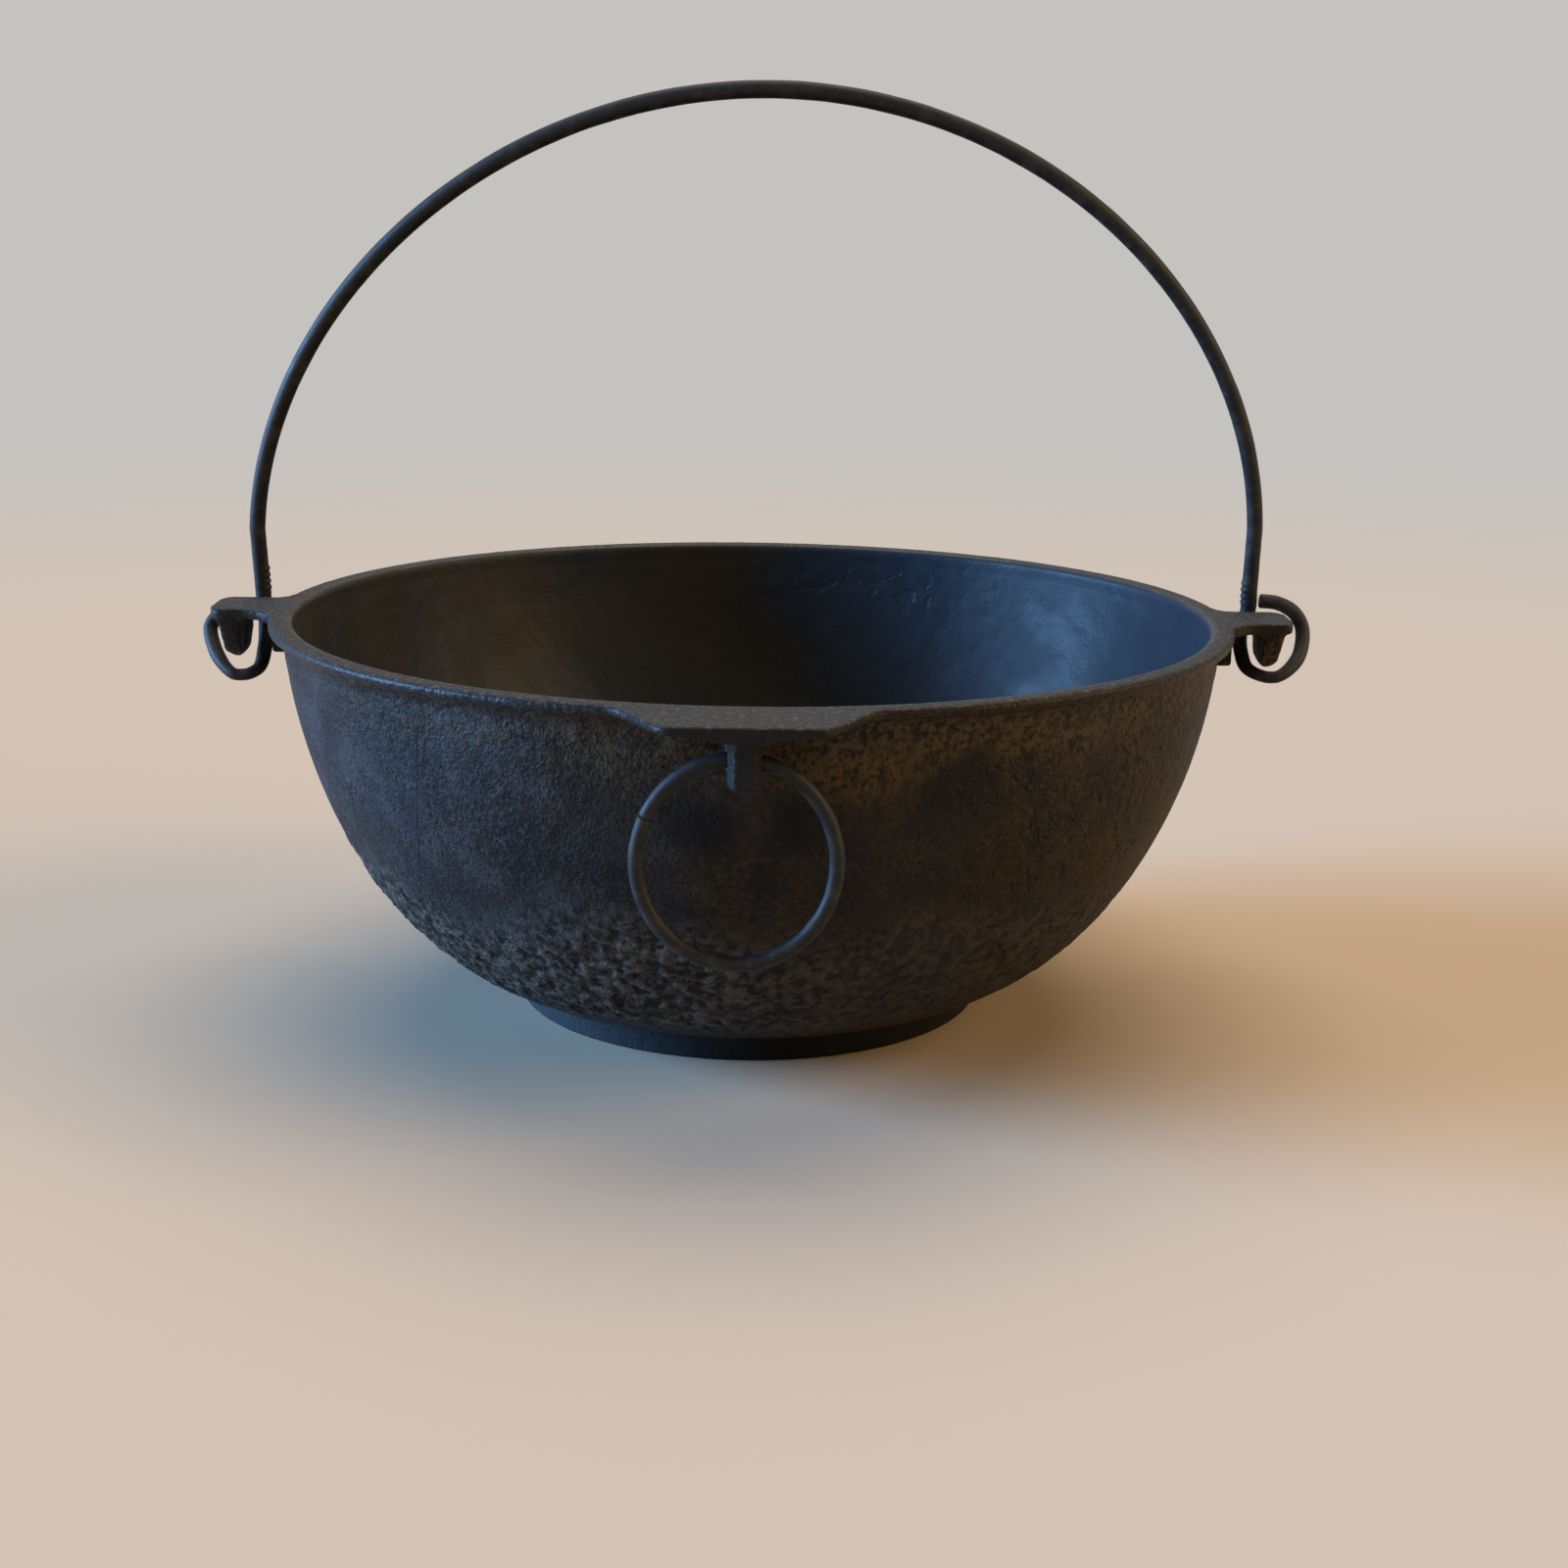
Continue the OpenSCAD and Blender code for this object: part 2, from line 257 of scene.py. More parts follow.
outside_top = bowl_h - 12
outside_keep = bowl_h - 16
crust_top = 60
crust_turns = 800
underside_profile = np.concatenate([
    straight((0.4, 0), (foot_low_r - edge_r, 0), 14)[:-1],
    arc((foot_low_r - edge_r, edge_r), edge_r, -90, 0, 6),
    straight((foot_low_r, edge_r), (foot_top_r, foot_h - 0.8), 10)[1:],
    arc((foot_top_r + 0.8, foot_h - 0.8), 0.8, 180, 90, 5)[1:],
    straight((foot_top_r + 0.8, foot_h), (wall_radius(foot_h, 0) - 0.7, foot_h), 5)[1:],
    arc((wall_radius(foot_h, 0) - 0.7, foot_h + 0.7), 0.7, -90, -40, 4)[1:],
    wall_points(foot_h + 0.9, crust_top, 0, 84),
])
bowl_underside = turned("bowl_underside", underside_profile, crust_turns)
wall_profile = faded(wall_points(crust_top, outside_top, 0, 44), outside_keep, outside_top, 0.12)
bowl_wall = turned("bowl_wall", wall_profile, crust_turns)

inside_top = bowl_h - 3
inside_keep = bowl_h - 7
inside_profile = np.concatenate([
    faded(wall_points(inside_top, 5 + wall_t + 0.02, wall_t, 110), inside_keep, inside_top, -0.10),
    straight((curve_x, 5 + wall_t), (0.4, 5 + wall_t), 16)[1:],
])
bowl_inside = turned("bowl_inside", inside_profile, 420)


# Rim with its ears and the ring's plate
# The rim, tabs, lugs, ribs, plate and stem are joined into one skin, then softened, so that
# every corner where they meet gets the small fillet of a casting.
tab_end = rim_r + 17.5
tab_half = 10.5
tab_t = 3.2
tab_root = 4
bail_shift = 0.9
leg_x = tab_end - 10
rest_gap = 0.3
eye_wire_r = 2.15
leg_wire_r = 2.3
top_wire_r = 2.45
pivot_y = 1
pivot_z = bowl_h - 5.4
lug_in = leg_x + bail_shift + 0.8
lug_t = 6.4
lug_r = 9
lug_extra = 1.1
eye_tuck = 2.4


def closed_loft(sections):
    """Skin over equal sections in a row, closed by a face at each end."""
    count, sides = sections.shape[:2]
    faces = [tuple(face) for face in grid_faces(count, sides)]
    faces += [tuple(range(sides))[::-1], tuple((count - 1) * sides + k for k in range(sides))]
    return sections.reshape(-1, 3), faces


def prism(outline, low, high):
    """Upright solid on a plan outline that runs counterclockwise."""
    flat = np.asarray(outline, float)
    return closed_loft(np.stack([np.column_stack([flat, np.full(len(flat), z)]) for z in (low, high)]))


def rim_corner(half_width, fillet):
    """Where a fillet between the rim's circle and a tab's straight side has its centre and touches the rim."""
    centre = np.array([math.sqrt((rim_r + fillet) ** 2 - (half_width + fillet) ** 2), half_width + fillet])
    return centre, centre * rim_r / (rim_r + fillet)


def tab_side(fillet):
    """Half of a tab's plan, from its rim end to the middle of its outer end, on the +Y side."""
    centre, touch = rim_corner(tab_half, fillet)
    start = math.degrees(math.atan2(*(touch - centre)[::-1]))
    corner = 4
    return np.concatenate([
        [touch - (tab_root, 0)],
        arc(centre, fillet, start, -90, 10),
        arc((tab_end - corner, tab_half - corner), corner, 90, 0, 8),
    ])


def ear_parts(r):
    """Tab, half-round lug of radius r and wall rib of the ear on the +X side."""
    front = tab_side(11) * (1, -1)
    back = tab_side(5)
    tab = prism(np.concatenate([front, back[::-1]]), bowl_h - tab_t, bowl_h)
    low = arc((2.8, -r + 2.8), 2.8, 180, 270, 7)
    high = arc((lug_t - 5.2, -r + 4), 4, -60, 10, 7)
    across = np.concatenate([low[:, 0], high[:, 0], [lug_t - 0.6, lug_t]])
    deepest = np.concatenate([low[:, 1], high[:, 1], [-0.6, 2.2]])
    half = arc((0, 0), r, 180, 360, 25)
    sections = [
        np.column_stack([
            np.full(27, lug_in + x),
            pivot_y + np.concatenate([half[:, 0], [r, -r]]),
            pivot_z + np.concatenate([np.maximum(half[:, 1], deep), [3.8, 3.8]]),
        ]) for x, deep in zip(across, deepest)
    ]
    rib_out = leg_x - bail_shift - eye_tuck / 2 - eye_wire_r - 3 * rest_gap
    rib = prism([(wall_r - 2, 1), (rib_out, 1), (rib_out, 9), (wall_r - 2, 9)], bowl_h - 14.6, bowl_h - tab_t / 2)
    return [tab, closed_loft(np.stack(sections)), rib]


def mirrored(part):
    """The part on the -X side, with its faces turned round to face outward."""
    points, faces = part
    return points * (-1, 1, 1), [face[::-1] for face in faces]


# Plan and depth of the plate over the ring, by distance from its middle
plate_front = rim_r + 17.5
plate_half = 18.5
plate_root = 32
stem_w = 8.6
stem_front = -(rim_r + 11)
stem_front_w = stem_w - 3.4
stem_drop = 16.8
hinge_y = -(rim_r + 4)
hinge_z = bowl_h - 10.6
plate_x = np.linspace(-plate_root, plate_root, 65)
reach = np.abs(plate_x)
rim_edge = np.sqrt(rim_r**2 - plate_x**2)
front_edge = rim_edge + (plate_front - rim_edge) * ramp(reach, plate_root + 0.5, plate_half - 1.5)
plate_depth = np.interp(reach, [0, stem_w / 2, plate_half - 8, plate_half, plate_root], [4.2, 4.2, 3.1, 2.4, rim_band_h])
plate = closed_loft(np.stack([
    [(x, -back + tab_root, bowl_h), (x, -back + tab_root, bowl_h - deep), (x, -front, bowl_h - deep), (x, -front, bowl_h)]
    for x, back, front, deep in zip(plate_x, rim_edge, front_edge, plate_depth)
]))
stem_outline = [
    (-stem_w / 2, 3 - wall_r), (-stem_w / 2, hinge_y - 3), (-stem_front_w / 2, stem_front),
    (stem_front_w / 2, stem_front), (stem_w / 2, hinge_y - 3), (stem_w / 2, 3 - wall_r),
]
stem = prism(stem_outline, bowl_h - stem_drop, bowl_h - 1.2)
bore_circle = arc((hinge_y, hinge_z), 2.75, 0, 360, 41)[:-1]
bore = closed_loft(np.stack([np.column_stack([np.full(40, x), bore_circle]) for x in (-stem_w, stem_w)]))


def applied(piece, kind, **settings):
    """Adds one modifier, applies it and returns the piece with the new mesh."""
    modifier = piece.modifiers.new(kind.lower(), kind)
    for setting, value in settings.items():
        setattr(modifier, setting, value)
    graph = bpy.context.evaluated_depsgraph_get()
    mesh = bpy.data.meshes.new_from_object(piece.evaluated_get(graph))
    piece.modifiers.clear()
    piece.data = mesh
    return piece


def merged(parts):
    """One list of points and one of faces from several parts."""
    points, faces = [], []
    for part_points, part_faces in parts:
        start = sum(len(p) for p in points)
        points.append(np.asarray(part_points))
        faces += [tuple(int(k) + start for k in face) for face in part_faces]
    return np.concatenate(points), faces


def points_of(piece, what="co"):
    """Vertex places in millimetres, or vertex normals."""
    values = np.zeros(len(piece.data.vertices) * 3, np.float32)
    piece.data.vertices.foreach_get(what, values)
    return values.reshape(-1, 3).astype(float) * (1000 if what == "co" else 1)


rim_section = np.concatenate([
    faded(wall_points(bowl_h - 17, cove_z, 0, 16), bowl_h - 12, bowl_h - 16, 0.12),
    arc((wall_r + cove_r, cove_z), cove_r, 180, 122, 9)[1:],
    arc((rim_r - edge_r, bowl_h - rim_band_h + edge_r), edge_r, -60, 0, 4),
    arc((rim_r - edge_r, bowl_h - edge_r), edge_r, 0, 90, 5),
    arc((wall_radius(bowl_h - mouth_edge_r, wall_t) + mouth_edge_r, bowl_h - mouth_edge_r), mouth_edge_r, 90, 180, 6),
    faded(wall_points(bowl_h - mouth_edge_r - 0.1, bowl_h - 8, wall_t, 8), bowl_h - 3, bowl_h - 7, -0.10),
])
ring_turns = 540
turn_angle = np.linspace(0, 2 * math.pi, ring_turns, endpoint=False)
rim_points = np.stack([
    np.outer(np.cos(turn_angle), rim_section[:, 0]), np.outer(np.sin(turn_angle), rim_section[:, 0]),
    np.repeat(rim_section[None, :, 1], ring_turns, axis=0),
], axis=-1).reshape(-1, 3)
section_count = len(rim_section)
around, along_section = np.meshgrid(np.arange(ring_turns), np.arange(section_count), indexing="ij")
next_around = (around + 1) % ring_turns
next_along = (along_section + 1) % section_count
rim_faces = np.stack([
    around * section_count + along_section, next_around * section_count + along_section,
    next_around * section_count + next_along, around * section_count + next_along,
], axis=-1).reshape(-1, 4)

bore_piece = add_piece("bore_cutter", *bore)
stem_piece = applied(add_piece("stem_blank", *stem), "BOOLEAN", operation="DIFFERENCE", object=bore_piece, solver="EXACT")
stem_part = (points_of(stem_piece), [tuple(face.vertices) for face in stem_piece.data.polygons])
ears = ear_parts(lug_r) + [mirrored(part) for part in ear_parts(lug_r + lug_extra)]
rim = add_piece("rim", *merged([(rim_points, rim_faces), *ears, plate, stem_part]))
for helper in (bore_piece, stem_piece):
    bpy.data.objects.remove(helper)
rim = applied(rim, "REMESH", mode="VOXEL", voxel_size=0.00074)
rim = applied(rim, "SMOOTH", factor=0.5, iterations=3)
skin = points_of(rim)
skin = skin + points_of(rim, "normal") * (cast_relief(skin) - 0.04)[:, None]
rim.data.vertices.foreach_set("co", (skin * 0.001).astype(np.float32).ravel())
rim.data.shade_smooth()
add_share(rim, "inner", inner_share(skin))


# Bail
# One wire: an arch on two straight legs, drawn thinner into an eye at each end. The path is the one
# of the CAD source, with more steps, tool marks above the tabs and cut ends.
arch_rise = 122
leg_l = 22
arch_pinch = 4.8
arch_sway = 3
bail_lean = math.radians(10)
eye_drop = 3.6
leg_y = tab_half + 1.3 * rest_gap + leg_wire_r
right_eye = np.array([
    (3.4, 0.9), (8.6, 0.2), (13.4, -2.6), (16, -7.6), (13.8, -13.4),
    (6.8, -17), (-0.7, -15.7), (-eye_tuck, -12), (-0.75 * eye_tuck, -7), (0, -2), (0, 4),
])
left_eye = np.array([
    (3.4, -1.7), (8.6, -2.2), (13.4, -4.3), (15.8, -8), (12.8, -13.4),
    (6.8, -17.1), (0.6, -16), (-0.5, -12), (-0.2, -7), (0, -2), (0, 4),
])


def spline(points, steps):
    """Smooth curve through the points, with even steps between each pair."""
    count = len(points)
    curve = []
    for i in range(count - 1):
        a, b, c, d = points[max(0, i - 1)], points[i], points[i + 1], points[min(count - 1, i + 2)]
        for u in np.arange(steps) / steps:
            curve.append(0.5 * (2 * b + (c - a) * u + (2 * a - 5 * b + 4 * c - d) * u**2 + (3 * b - a - 3 * c + d) * u**3))
    return np.array(curve)


def eye_path(points, side):
    """One eye from its cut end to the leg."""
    path = spline(points, 10)
    return np.column_stack([side * (leg_x + path[:, 0]), path[:, 1]])


def leg_path(side):
    height = np.arange(4, leg_l - 0.5, 0.4)
    return np.column_stack([np.full(len(height), side * leg_x), height])


arch_angle = np.linspace(0, math.pi, 150)
arch_path = np.column_stack([
    leg_x * np.cos(arch_angle) - arch_pinch * np.sin(2 * arch_angle) + arch_sway * np.sin(arch_angle),
    leg_l + arch_rise * np.sin(arch_angle),
])
bail_plan = np.concatenate([
    eye_path(right_eye, 1), leg_path(1), arch_path, leg_path(-1)[::-1], eye_path(left_eye, -1)[::-1],
])


def place_bail(plan):
    """Tilts the plan so that the left eye hangs lower, bends the eyes forward and leans the whole bail."""
    tilt = math.atan(eye_drop / (2 * leg_x))
    across, up = plan[:, 0], plan[:, 1]
    x = across * math.cos(tilt) - (up + bowl_h - pivot_z) * math.sin(tilt) + bail_shift
    s = up + across * math.sin(tilt)
    share = np.clip((up + 17) / (17 - 3.2), 0, 1)
    bend = np.where(up > -3.2, 0, 14.5 * (1 - np.sin(math.pi / 2 * share)))
    y = leg_y - s * math.sin(bail_lean) - bend * math.cos(bail_lean)
    return np.column_stack([x, y, bowl_h + s * math.cos(bail_lean) - bend * math.sin(bail_lean)])


def wire_skin(path, radius, sides, marks=None):
    """Round skin swept along a path, ending in a bevelled, flat cut at each end.
    Marks are added to the radius, and take a ring's number and the direction away from the path."""
    along = np.gradient(path, axis=0)
    along /= np.linalg.norm(along, axis=1)[:, None]
    path = np.concatenate([path[:1] - along[:1] * 0.25, path[:1], path[1:-1], path[-1:], path[-1:] + along[-1:] * 0.25])
    along = np.concatenate([along[:1], along, along[-1:]])
    radius = np.concatenate([radius[:1] * 0.86, radius, radius[-1:] * 0.86])
    across = np.cross(along, (0, 1, 0))
    across /= np.linalg.norm(across, axis=1)[:, None]
    third = np.cross(along, across)
    angle = np.linspace(0, 2 * math.pi, sides, endpoint=False)
    away = np.cos(angle)[None, :, None] * across[:, None] + np.sin(angle)[None, :, None] * third[:, None]
    reach = np.repeat(radius[:, None], sides, axis=1)
    if marks is not None:
        reach = reach + marks(path, away)
    points = (path[:, None] + away * reach[..., None]).reshape(-1, 3)
    dents = 0.05 * noise(points, 7, 21) + 0.025 * noise(points, 2, 22) - 0.075
    points = points + away.reshape(-1, 3) * dents[:, None]
    faces = [tuple(face)[::-1] for face in grid_faces(len(path), sides)]
    last = (len(path) - 1) * sides
    return points, faces + [tuple(range(sides)), tuple(last + k for k in range(sides))[::-1]]


def grip_marks(path, away):
    """Teeth marks of the bending tool on the side of each leg that faces the bowl, just above the tab."""
    height = path[:, 2] - bowl_h
    near = ramp(height, 0.2, 1.5) * ramp(height, 10, 8) * (np.abs(path[:, 0]) < leg_x + 4)
    teeth = 0.5 + 0.5 * np.sin(2 * math.pi * height / 1.9)
    facing = np.clip(-np.sign(path[:, :1]) * away[..., 0], 0, 1) ** 2
    return 0.42 * (near * teeth)[:, None] * facing


plan_up = bail_plan[:, 1]
on_eye = (plan_up < -4) | (np.abs(bail_plan[:, 0]) > leg_x + 2)
wire_r = np.where(plan_up < leg_l, leg_wire_r, leg_wire_r + (top_wire_r - leg_wire_r) * (plan_up - leg_l) / arch_rise)
wire_r = np.where(on_eye, eye_wire_r - 0.35 * np.clip((-14 - plan_up) / 2.5, 0, 1), wire_r)
wire_r = np.convolve(np.pad(wire_r, 3, mode="edge"), np.ones(7) / 7, mode="valid")
bail = add_piece("bail_wire", *wire_skin(place_bail(bail_plan), wire_r, 24, grip_marks))


# Tipping ring
# A slightly oval ring of thinner wire whose two ends meet in a narrow split on its left side.
ring_wire_r = 1.9
ring_mid_r = 25.2 - ring_wire_r
ring_stretch = 2.8
ring_centre = np.array([-1.7, hinge_y, hinge_z - ring_mid_r - ring_stretch / 2 + 0.3])
split_angle = math.radians(155)
split_half = 0.3 / ring_mid_r
ring_angle = np.linspace(split_angle + split_half, split_angle + 2 * math.pi - split_half, 220)
ring_path = ring_centre + np.column_stack([
    ring_mid_r * np.cos(ring_angle), np.zeros(220), (ring_mid_r + ring_stretch / 2) * np.sin(ring_angle),
])
tipping_ring = add_piece("ring_wire", *wire_skin(ring_path, np.full(220, ring_wire_r), 24))


# Materials
# One for the casting and one for the wires. All texture comes from the place on the object, in
# millimetres, and from the share of inner face that the meshes carry.
class Field:
    """One socket of a shader tree. Arithmetic on it adds the math node that gives the result."""

    def __init__(self, tree, socket):
        self.tree = tree
        self.socket = socket

    def math(self, operation, *others):
        node = self.tree.nodes.new("ShaderNodeMath")
        node.operation = operation
        for entry, value in zip(node.inputs, (self, *others)):
            if isinstance(value, Field):
                self.tree.links.new(value.socket, entry)
            else:
                entry.default_value = value
        return Field(self.tree, node.outputs[0])

    def __add__(self, other):
        return self.math("ADD", other)

    def __sub__(self, other):
        return self.math("SUBTRACT", other)

    def __rsub__(self, other):
        return (self * -1) + other

    def __mul__(self, other):
        return self.math("MULTIPLY", other)

    __radd__ = __add__
    __rmul__ = __mul__

    def ramp(self, low, high):
        """0 at low and 1 at high, with a smooth change between them."""
        node = self.tree.nodes.new("ShaderNodeMapRange")
        node.interpolation_type = "SMOOTHSTEP"
        self.tree.links.new(self.socket, node.inputs["Value"])
        node.inputs["From Min"].default_value = min(low, high)
        node.inputs["From Max"].default_value = max(low, high)
        node.inputs["To Min"].default_value = 0 if low < high else 1
        node.inputs["To Max"].default_value = 1 if low < high else 0
        return Field(self.tree, node.outputs["Result"])

    def between(self, first, second):
        """Colour that goes from the first to the second as this share goes from 0 to 1."""
        node = self.tree.nodes.new("ShaderNodeMix")
        node.data_type = "RGBA"
        self.tree.links.new(self.socket, node.inputs["Factor"])
        for number, colour in ((6, first), (7, second)):
            if isinstance(colour, Field):
                self.tree.links.new(colour.socket, node.inputs[number])
            else:
                node.inputs[number].default_value = (*colour, 1)
        return Field(self.tree, node.outputs[2])


class Surface:
    """A new material with its place fields and its textures."""

    def __init__(self, name):
        self.material = bpy.data.materials.new(name)
        self.material.use_nodes = True
        self.tree = self.material.node_tree
        self.shader = self.tree.nodes["Principled BSDF"]
        self.object_place = self.tree.nodes.new("ShaderNodeTexCoord").outputs["Object"]
        split = self.tree.nodes.new("ShaderNodeSeparateXYZ")
        self.tree.links.new(self.scaled(1000), split.inputs[0])
        self.x, self.y, self.z = (Field(self.tree, out) for out in split.outputs)

    def scaled(self, factor, stretch=(1, 1, 1)):
        node = self.tree.nodes.new("ShaderNodeVectorMath")
        node.operation = "MULTIPLY"
        self.tree.links.new(self.object_place, node.inputs[0])
        node.inputs[1].default_value = [factor * s for s in stretch]
        return node.outputs[0]

    def cloud(self, size, detail=3, stretch=(1, 1, 1)):
        """Noise from about 0.25 to 0.75 with blobs of the given size in millimetres."""
        node = self.tree.nodes.new("ShaderNodeTexNoise")
        self.tree.links.new(self.scaled(1000 / size, stretch), node.inputs["Vector"])
        node.inputs["Scale"].default_value = 1
        node.inputs["Detail"].default_value = detail
        return Field(self.tree, node.outputs[0])

    def chips(self, size, warp):
        """One random value for each uneven cell of the given size, with its border bent by noise."""
        shift = self.tree.nodes.new("ShaderNodeTexNoise")
        self.tree.links.new(self.scaled(1000 / size), shift.inputs["Vector"])
        shift.inputs["Scale"].default_value = 1.2
        moved = self.tree.nodes.new("ShaderNodeVectorMath")
        moved.operation = "MULTIPLY_ADD"
        self.tree.links.new(shift.outputs["Color"], moved.inputs[0])
        moved.inputs[1].default_value = (warp, warp, warp)
        self.tree.links.new(self.scaled(1000 / size), moved.inputs[2])
        node = self.tree.nodes.new("ShaderNodeTexVoronoi")
        self.tree.links.new(moved.outputs[0], node.inputs["Vector"])
        node.inputs["Scale"].default_value = 1
        return Field(self.tree, node.outputs["Color"])

    def share(self, name):
        node = self.tree.nodes.new("ShaderNodeAttribute")
        node.attribute_name = name
        return Field(self.tree, node.outputs["Fac"])

    def bump(self, height):
        """Bump from a height field in millimetres."""
        node = self.tree.nodes.new("ShaderNodeBump")
        node.inputs["Distance"].default_value = 0.001
        self.tree.links.new(height.socket, node.inputs["Height"])
        self.tree.links.new(node.outputs[0], self.shader.inputs["Normal"])

    def set(self, entry, value):
        if isinstance(value, Field):
            self.tree.links.new(value.socket, self.shader.inputs[entry])
        else:
            self.shader.inputs[entry].default_value = value


iron = Surface("seasoned_cast_iron")
inner = iron.share("inner")
outer = 1 - inner
front = iron.y.ramp(-20, -50)
grain = iron.cloud(0.9, 3)
crumbs = iron.cloud(2.6, 5)
blotches = iron.cloud(12, 5)
mottle = iron.cloud(20, 5).ramp(0.40, 0.60)
patches = iron.cloud(34, 4).ramp(0.42, 0.62)
foot = iron.z.ramp(8.9, 8.3)
top_face = iron.z.ramp(bowl_h - 0.7, bowl_h - 0.2)
band = iron.z.ramp(bowl_h - 3.8, bowl_h - 2.8) * (1 - top_face) * outer
wall = outer * (1 - foot) * (1 - top_face) * (1 - band)

crust = iron.share("crust")
flake = iron.share("flake")

line_x = iron.x + 80 + (100 - iron.z) * 0.067 + iron.cloud(12, 1) * 0.8 - 0.4
line = line_x.math("ABSOLUTE").ramp(0.5, 0.1) * front * iron.z.ramp(34, 60) * iron.z.ramp(101, 97) * outer * (crumbs * 1.2)
pitted = iron.cloud(4.5, 2).ramp(0.56, 0.64)
inner_pits = inner * pitted * iron.y.ramp(50, 90) * iron.z.ramp(88, 96) * iron.z.ramp(106, 102) * iron.x.ramp(-8, 6) * iron.x.ramp(66, 50)
wall_pits = wall * pitted * iron.x.ramp(30, 75) * iron.cloud(13, 3).ramp(0.46, 0.58)

skin = grain * 0.6 + crumbs * 0.3 + patches * crumbs * 0.7
crusted = crust * (iron.chips(1.8, 1.6) * 1.5 + crumbs * 1.2)
smooth = (foot + band + top_face) * outer * (grain * 0.22 + crumbs * 0.40)
inside = inner * (grain * 0.05 + iron.cloud(6, 4) * 0.16 + blotches * 0.22)
iron.bump(wall * skin + crusted + smooth + inside - inner_pits * 0.14 - wall_pits * 0.6 - line * 0.2)

speckle = iron.cloud(1.5, 4)
black = (0.018, 0.0213, 0.028)
brown = (0.020, 0.0120, 0.0028)
right_side = (iron.x + blotches * 60).ramp(-50, 50)
browned = iron.cloud(30, 5).ramp(0.36, 0.64) * 0.35 + right_side * 0.65 + crumbs.ramp(0.5, 0.7) * 0.2
browned = browned * (1 - inner * 0.8)
colour = browned.between(black, brown)
tone = iron.cloud(15, 6)
colour = (wall * tone.ramp(0.49, 0.39) * 0.6).between(colour, (0.0075, 0.0078, 0.0085))
pale = right_side.between((0.042, 0.046, 0.053), (0.046, 0.033, 0.017))
colour = (wall * tone.ramp(0.52, 0.62) * (0.5 - right_side * 0.25)).between(colour, pale)
colour = (speckle.ramp(0.47, 0.37) * (0.60 - inner * 0.35)).between(colour, (0.007, 0.006, 0.005))
colour = (speckle.ramp(0.54, 0.66) * (0.3 + patches * 0.5) * (1 - inner * 0.75)).between(colour, pale)
# The crust's own lighter colour, which changes at random, with high scales painted lighter and low ones darker: painted
# highlight and shade on the scales' relief.
crust_tone_and_painted_shade = (flake * 0.6 + crumbs * 2.4 - 1.0).ramp(0.15, 0.90).between((0.012, 0.0105, 0.009), (0.098, 0.086, 0.074))
colour = (crust * 0.9).between(colour, crust_tone_and_painted_shade)
# The foot: near-black on the right, painted lighter and bluish towards the left, a painted sheen of the cool window.
foot_tone_and_sheen = iron.x.ramp(10, -50).between((0.008, 0.0078, 0.0075), (0.030, 0.035, 0.043))
colour = (foot * outer * 0.9).between(colour, foot_tone_and_sheen)
under_band = wall * (iron.z + blotches * 16).ramp(bowl_h - 14, bowl_h - 2) * (0.3 + right_side * 0.7)
fine = crumbs * 0.45 + speckle * 0.55
colour = (under_band * fine.ramp(0.43, 0.57) * 0.75).between(colour, (0.072, 0.047, 0.018))
stain_x = (iron.x - 25) * 0.045
stain_z = (iron.z - 93) * 0.11
stain = (stain_x * stain_x + stain_z * stain_z + blotches * 2.4).ramp(2.2, 0.9) * front * wall
colour = (stain * fine.ramp(0.41, 0.59)).between(colour, (0.085, 0.050, 0.013))
# Three dark round patches on the front wall, with soft edges. The two small ones inside the ring, left and right of the
# stem, are painted shadows of the stem. The larger one right of the ring is a dark patch.
for spot_x, spot_z, spot_r in ((51, 86, 13), (-10, 80, 9), (13, 83, 9)):
    from_middle_x = (iron.x - spot_x) * (1 / spot_r)
    from_middle_z = (iron.z - spot_z) * (1 / spot_r)
    painted_shadow_and_dark_patch = (from_middle_x * from_middle_x + from_middle_z * from_middle_z + blotches * 3).ramp(2.9, 1.3) * front * wall
    colour = (painted_shadow_and_dark_patch * 0.95).between(colour, (0.006, 0.0058, 0.0055))
plate_and_stem = iron.y.ramp(-136.5, -138) * iron.z.ramp(bowl_h - 0.3, bowl_h - 1)
colour = (plate_and_stem * 0.85).between(colour, (0.012, 0.0118, 0.012))
colour = (wall_pits * 0.8 + line * 0.5).between(colour, (0.010, 0.009, 0.008))
colour = (top_face * (0.6 + crumbs * 0.6)).between(colour, (0.035, 0.0325, 0.029))
colour = (top_face * speckle.ramp(0.53, 0.62) * 0.4).between(colour, (0.130, 0.124, 0.112))
colour = (top_face * speckle.ramp(0.44, 0.36) * 0.45).between(colour, (0.018, 0.017, 0.015))
colour = (inner * iron.cloud(38, 4).ramp(0.38, 0.66) * iron.x.ramp(60, -20) * 0.8).between(colour, (0.028, 0.022, 0.013))
# Painted blue sheen: the inner face turns bluish towards the right, where the cool window shines in.
colour = (inner * iron.x.ramp(0, 90) * 0.5).between(colour, (0.015, 0.023, 0.035))
iron.set("Base Color", colour)
rough_wall = 0.42 + crumbs * 0.24 + crust * 0.12
rough_inner = 0.32 + mottle * 0.12 + blotches * 0.12 + inner_pits * 0.15
iron.set("Roughness", inner * rough_inner + wall * rough_wall + (foot * 0.5 + band * 0.36) * outer + top_face * 0.72 * outer)
iron.set("IOR", 1.22)

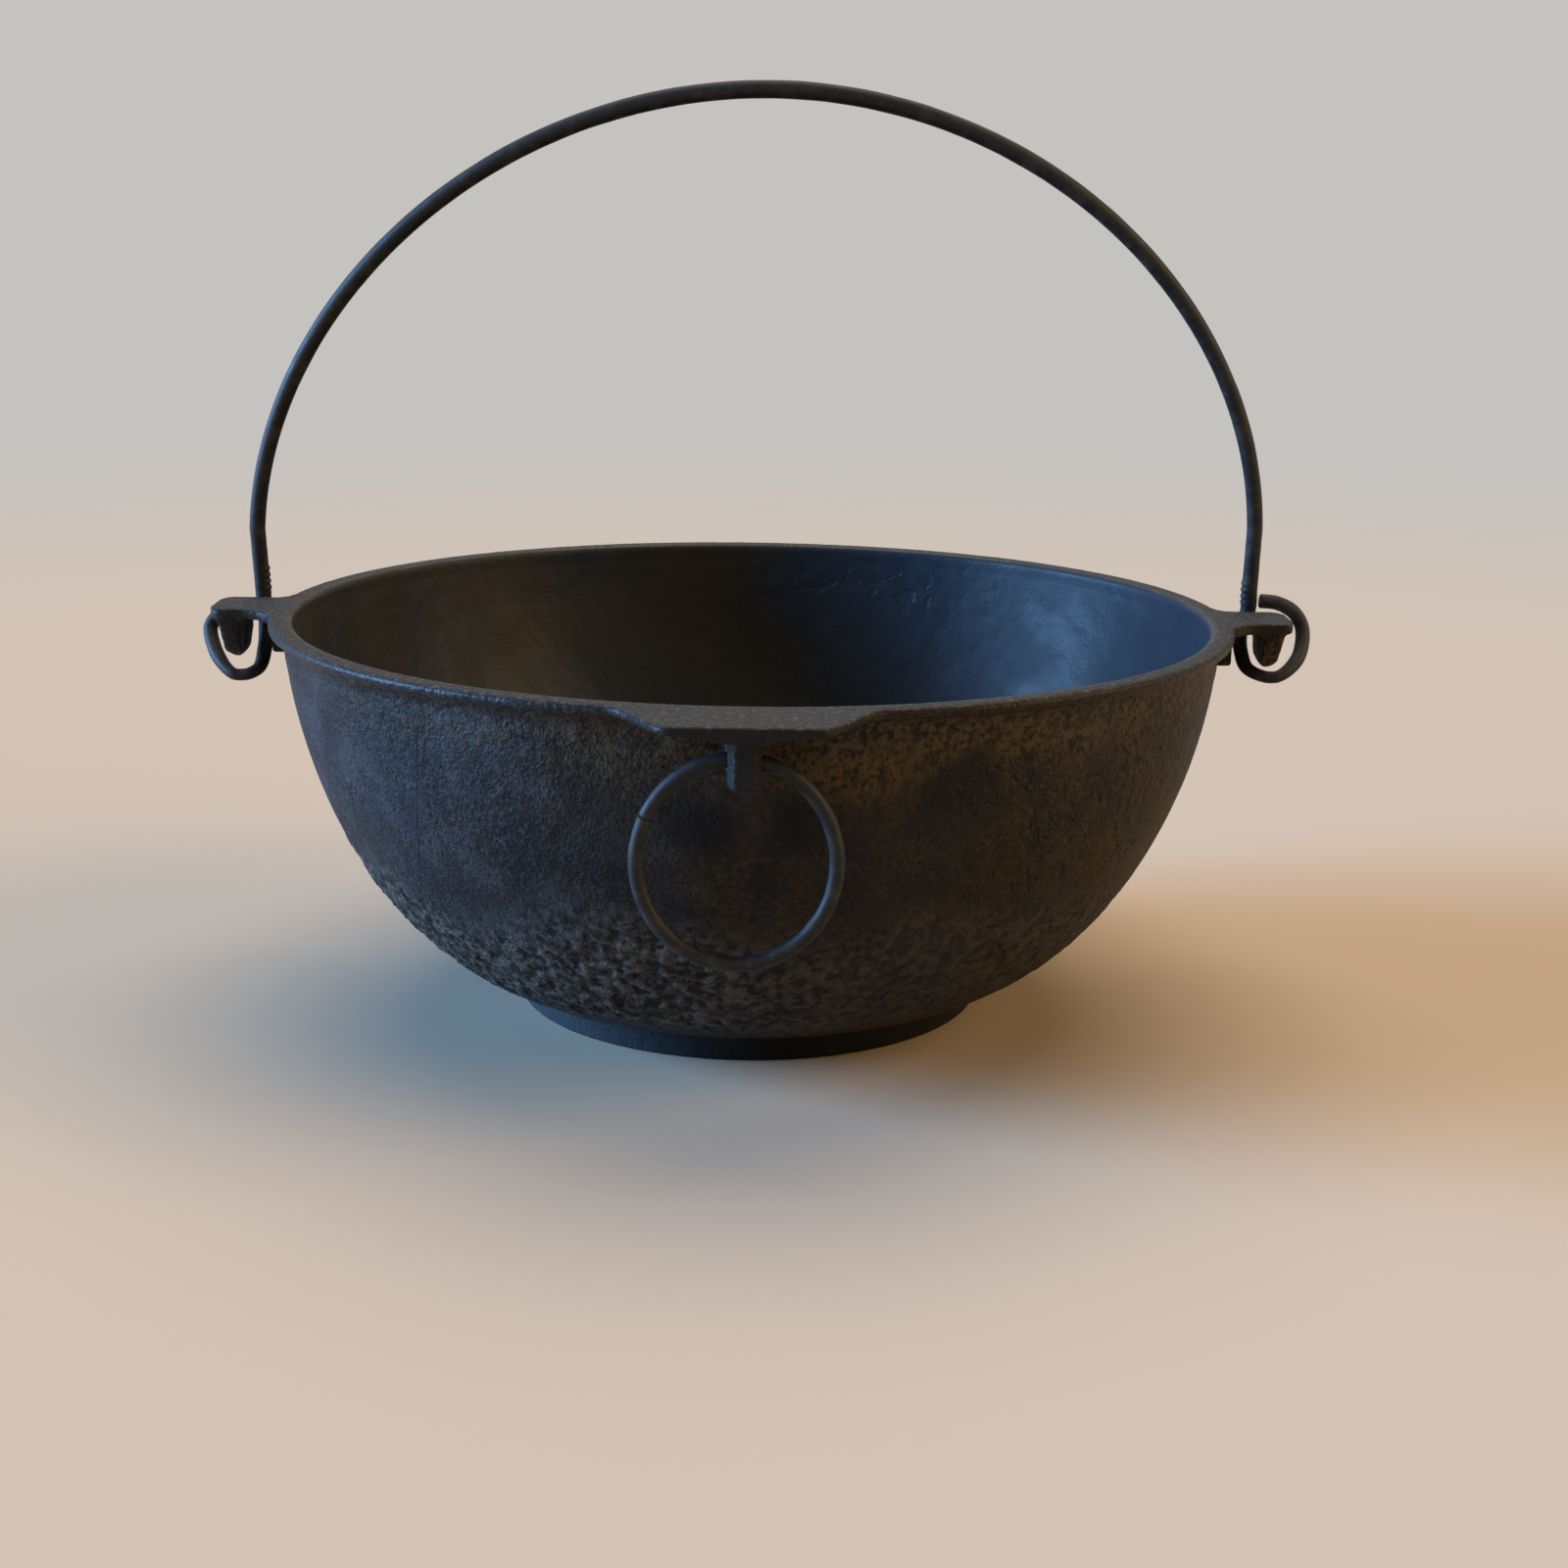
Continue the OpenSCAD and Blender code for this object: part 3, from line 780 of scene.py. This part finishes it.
wire = Surface("blackened_wire")
scuffs = wire.cloud(4, 5)
wire.set("Base Color", scuffs.ramp(0.45, 0.7).between((0.0085, 0.0082, 0.0088), (0.030, 0.023, 0.017)))
wire.set("Roughness", 0.40 + scuffs * 0.34)
wire.set("IOR", 1.34)
wire.bump(wire.cloud(0.8, 3) * 0.05 + scuffs * 0.12)

for piece in (bowl_underside, bowl_wall, bowl_inside, rim):
    piece.data.materials.clear()
    piece.data.materials.append(iron.material)
    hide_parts("bowl")
    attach(piece, "bowl")
for piece, node, slot in ((bail, "bail", "bail_wire"), (tipping_ring, "tipping_ring", "ring_wire")):
    piece.data.materials.append(wire.material)
    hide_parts(node)
    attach(piece, node)

# Floor, light and background
# A pale floor that fades into a pale background, a wide cool window on the left, a weaker warm one
# on the right, soft light from above and a dim even room.
background = (0.56, 0.545, 0.525, 1)


def seen_share(tree):
    """1 for rays that show a thing, straight from the camera or in a gloss, and 0 for rays that light it."""
    path = tree.nodes.new("ShaderNodeLightPath")
    seen = Field(tree, path.outputs["Is Camera Ray"])
    for kind in ("Is Glossy Ray", "Is Transmission Ray"):
        seen = seen.math("MAXIMUM", Field(tree, path.outputs[kind]))
    return seen


def mixed(tree, share, first, second, output):
    """Sends a mix of two shaders to the output, from the first to the second as the share goes from 0 to 1."""
    mix = tree.nodes.new("ShaderNodeMixShader")
    for entry, socket in zip(mix.inputs, (share.socket, first.outputs[0], second.outputs[0])):
        tree.links.new(socket, entry)
    tree.links.new(mix.outputs[0], output.inputs["Surface"])


floor_mesh = bpy.data.meshes.new("floor")
floor_mesh.from_pydata([(-6, -6, 0), (6, -6, 0), (6, 6, 0), (-6, 6, 0)], [], [(0, 1, 2, 3)])
floor = bpy.data.objects.new("floor", floor_mesh)
bpy.context.scene.collection.objects.link(floor)
floor_surface = Surface("pale_floor")
floor_surface.set("Base Color", (0.62, 0.49, 0.36, 1))
floor_surface.set("Roughness", 1.0)
floor_surface.set("Specular IOR Level", 0.0)
glow = floor_surface.tree.nodes.new("ShaderNodeEmission")
glow.inputs["Color"].default_value = background
away = (floor_surface.x * floor_surface.x + floor_surface.y * floor_surface.y).math("SQRT")
faded_out = seen_share(floor_surface.tree) * away.ramp(420, 1600)
mixed(floor_surface.tree, faded_out, floor_surface.shader, glow, floor_surface.tree.nodes["Material Output"])
floor_mesh.materials.append(floor_surface.material)


def window(name, toward, spread, colour, level):
    """Broad distant light that comes from a direction. At level 1 a white surface that faces it looks white."""
    data = bpy.data.lights.new(name, "SUN")
    data.angle = math.radians(spread)
    data.color = colour
    data.energy = level * math.pi
    lamp = bpy.data.objects.new(name, data)
    lamp.rotation_euler = Vector(toward).to_track_quat("Z", "Y").to_euler()
    bpy.context.scene.collection.objects.link(lamp)


window("cool_window", (-0.96, 0.00, 0.18), 34, (0.26, 0.54, 1.0), 3.5)
window("warm_window", (0.92, -0.16, 0.42), 42, (1.0, 0.70, 0.37), 0.55)
window("soft_top", (0.05, 0.35, 0.95), 60, (1.0, 0.90, 0.80), 0.66)

world = bpy.data.worlds.new("room")
world.use_nodes = True
bpy.context.scene.world = world
room = world.node_tree.nodes["Background"]
room.inputs["Color"].default_value = (0.95, 0.93, 0.90, 1)
room.inputs["Strength"].default_value = 0.05
beyond = world.node_tree.nodes.new("ShaderNodeBackground")
beyond.inputs["Color"].default_value = background
mixed(world.node_tree, seen_share(world.node_tree), room, beyond, world.node_tree.nodes["World Output"])
bpy.context.scene.view_settings.view_transform = "Standard"
